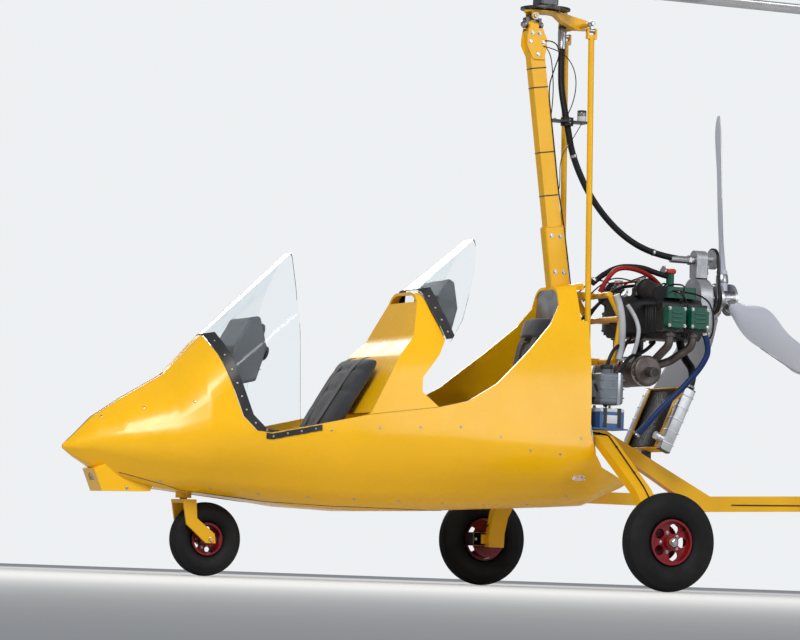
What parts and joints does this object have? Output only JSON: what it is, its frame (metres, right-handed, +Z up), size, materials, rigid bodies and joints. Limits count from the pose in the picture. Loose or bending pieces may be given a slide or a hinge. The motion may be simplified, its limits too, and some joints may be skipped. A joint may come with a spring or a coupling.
{
  "type": "tandem open gyrocopter",
  "caption": "Open tandem two-seat gyrocopter: moulded body on a keel tube, free rotor on a leaning mast, pusher engine, tricycle wheels and a low tail.",
  "frame": {"origin": "on the ground under the rotor shaft", "axes": "+X aft, +Y starboard, +Z up"},
  "size_m": [8.53, 1.802, 2.565],
  "materials": {
    "body_yellow": "gloss",
    "frame_yellow": "gloss",
    "black_trim": "satin",
    "clear_screen": "gloss",
    "pod_grey": "satin",
    "seat_cloth": "matte",
    "bare_alu": "satin",
    "dark_steel": "satin",
    "black_metal": "satin",
    "tyre_rubber": "matte",
    "rim_red": "gloss",
    "engine_grey": "satin",
    "cover_green": "gloss",
    "blade_white": "gloss",
    "steel_pipe": "satin",
    "hose_rubber": "satin",
    "tank_grey": "satin",
    "battery_blue": "satin",
    "lamp_lens": "gloss",
    "fire_steel": "satin"
  },
  "bodies": {
    "airframe": {"fuselage_left": "body_yellow", "fuselage_right": "body_yellow", "nose_tip": "body_yellow", "chin_housing": "body_yellow", "landing_light": "lamp_lens", "seat_back_cowl": "body_yellow", "firewall": "fire_steel", "windscreens": "clear_screen", "screen_strips": "black_trim", "instrument_pods": "pod_grey", "seats": "seat_cloth", "control_sticks": "black_metal", "keel_boom": "frame_yellow", "mast": "frame_yellow", "mast_head": "dark_steel", "gear_leg_left": "frame_yellow", "gear_leg_right": "frame_yellow", "engine_block": "engine_grey", "rocker_covers": "cover_green", "ignition_box": "cover_green", "gearbox": "bare_alu", "prerotator_drive": "black_metal", "engine_mount": "frame_yellow", "air_filters": "black_metal", "exhaust": "steel_pipe", "radiator": "black_metal", "coolant_hoses": "hose_rubber", "oil_tank": "tank_grey", "battery": "battery_blue", "flex_shaft": "hose_rubber", "mast_bracket": "black_metal", "stabiliser": "body_yellow", "fin": "body_yellow", "position_lights": "lamp_lens"},
    "steering": {"nose_fork": "frame_yellow"},
    "nose_wheel": {"nose_tyre": "tyre_rubber", "nose_rim": "rim_red"},
    "main_wheel_left": {"main_tyre_left": "tyre_rubber", "main_rim_left": "rim_red"},
    "main_wheel_right": {"main_tyre_right": "tyre_rubber", "main_rim_right": "rim_red"},
    "propeller": {"propeller_hub": "bare_alu", "propeller_blades": "blade_white"},
    "rudder": {"rudder": "body_yellow"},
    "gimbal": {"gimbal_block": "dark_steel"},
    "rotor_head": {"torque_bar": "frame_yellow"},
    "rotor_hub": {"rotor_hub": "dark_steel"},
    "rotor": {"hub_bar": "bare_alu", "rotor_blades": "blade_white"},
    "rod_end_left": {"rod_end_left": "dark_steel"},
    "rod_left": {"push_rod_left": "frame_yellow"},
    "rod_end_right": {"rod_end_right": "dark_steel"},
    "rod_right": {"push_rod_right": "frame_yellow"}
  },
  "joints": [
    {"name": "nose_steer", "type": "hinge", "parent": "airframe", "child": "steering", "pos_m": [-1.551, 0, 0.3], "axis": [0, 0, 1], "range_deg": [-30, 30]},
    {"name": "nose_wheel_spin", "type": "hinge", "parent": "steering", "child": "nose_wheel", "pos_m": [-1.452, 0, 0.149], "axis": [0, 1, 0], "continuous": true},
    {"name": "main_wheel_left_spin", "type": "hinge", "parent": "airframe", "child": "main_wheel_left", "pos_m": [0.2, -0.85, 0.2], "axis": [0, 1, 0], "continuous": true},
    {"name": "main_wheel_right_spin", "type": "hinge", "parent": "airframe", "child": "main_wheel_right", "pos_m": [0.2, 0.85, 0.2], "axis": [0, 1, 0], "continuous": true},
    {"name": "propeller_spin", "type": "hinge", "parent": "airframe", "child": "propeller", "pos_m": [0.891, 0, 1.253], "axis": [1, 0, 0], "continuous": true},
    {"name": "rudder_swing", "type": "hinge", "parent": "airframe", "child": "rudder", "pos_m": [2.11, 0, 0.8], "axis": [0, 0, 1], "range_deg": [-25, 25]},
    {"name": "head_roll", "type": "hinge", "parent": "airframe", "child": "gimbal", "pos_m": [-0.06, 0, 2.352], "axis": [1, 0, 0], "range_deg": [-9, 9]},
    {"name": "head_pitch", "type": "hinge", "parent": "gimbal", "child": "rotor_head", "pos_m": [-0.06, 0, 2.387], "axis": [0, 1, 0], "range_deg": [-4, 14], "deforming": ["flex_shaft"]},
    {"name": "rotor_spin", "type": "hinge", "parent": "rotor_head", "child": "rotor_hub", "pos_m": [0, 0, 2.45], "axis": [0, 0, 1], "continuous": true},
    {"name": "rotor_teeter", "type": "hinge", "parent": "rotor_hub", "child": "rotor", "pos_m": [0, 0, 2.538], "axis": [0, 1, 0], "range_deg": [-6, 6]},
    {"name": "rod_end_left_pitch", "type": "hinge", "parent": "rotor_head", "child": "rod_end_left", "pos_m": [0.16, -0.118, 2.362], "axis": [0, 1, 0], "range_deg": [-14, 4]},
    {"name": "rod_left_roll", "type": "hinge", "parent": "rod_end_left", "child": "rod_left", "pos_m": [0.16, -0.118, 2.334], "axis": [1, 0, 0], "range_deg": [-9, 9]},
    {"name": "rod_end_right_pitch", "type": "hinge", "parent": "rotor_head", "child": "rod_end_right", "pos_m": [0.16, 0.118, 2.362], "axis": [0, 1, 0], "range_deg": [-14, 4]},
    {"name": "rod_right_roll", "type": "hinge", "parent": "rod_end_right", "child": "rod_right", "pos_m": [0.16, 0.118, 2.334], "axis": [1, 0, 0], "range_deg": [-9, 9]}
  ],
  "couplings": [
    {"joint": "rod_end_left_pitch", "follows": "head_pitch", "ratio": -1},
    {"joint": "rod_left_roll", "follows": "head_roll", "ratio": -1},
    {"joint": "rod_end_right_pitch", "follows": "head_pitch", "ratio": -1},
    {"joint": "rod_right_roll", "follows": "head_roll", "ratio": -1}
  ]
}
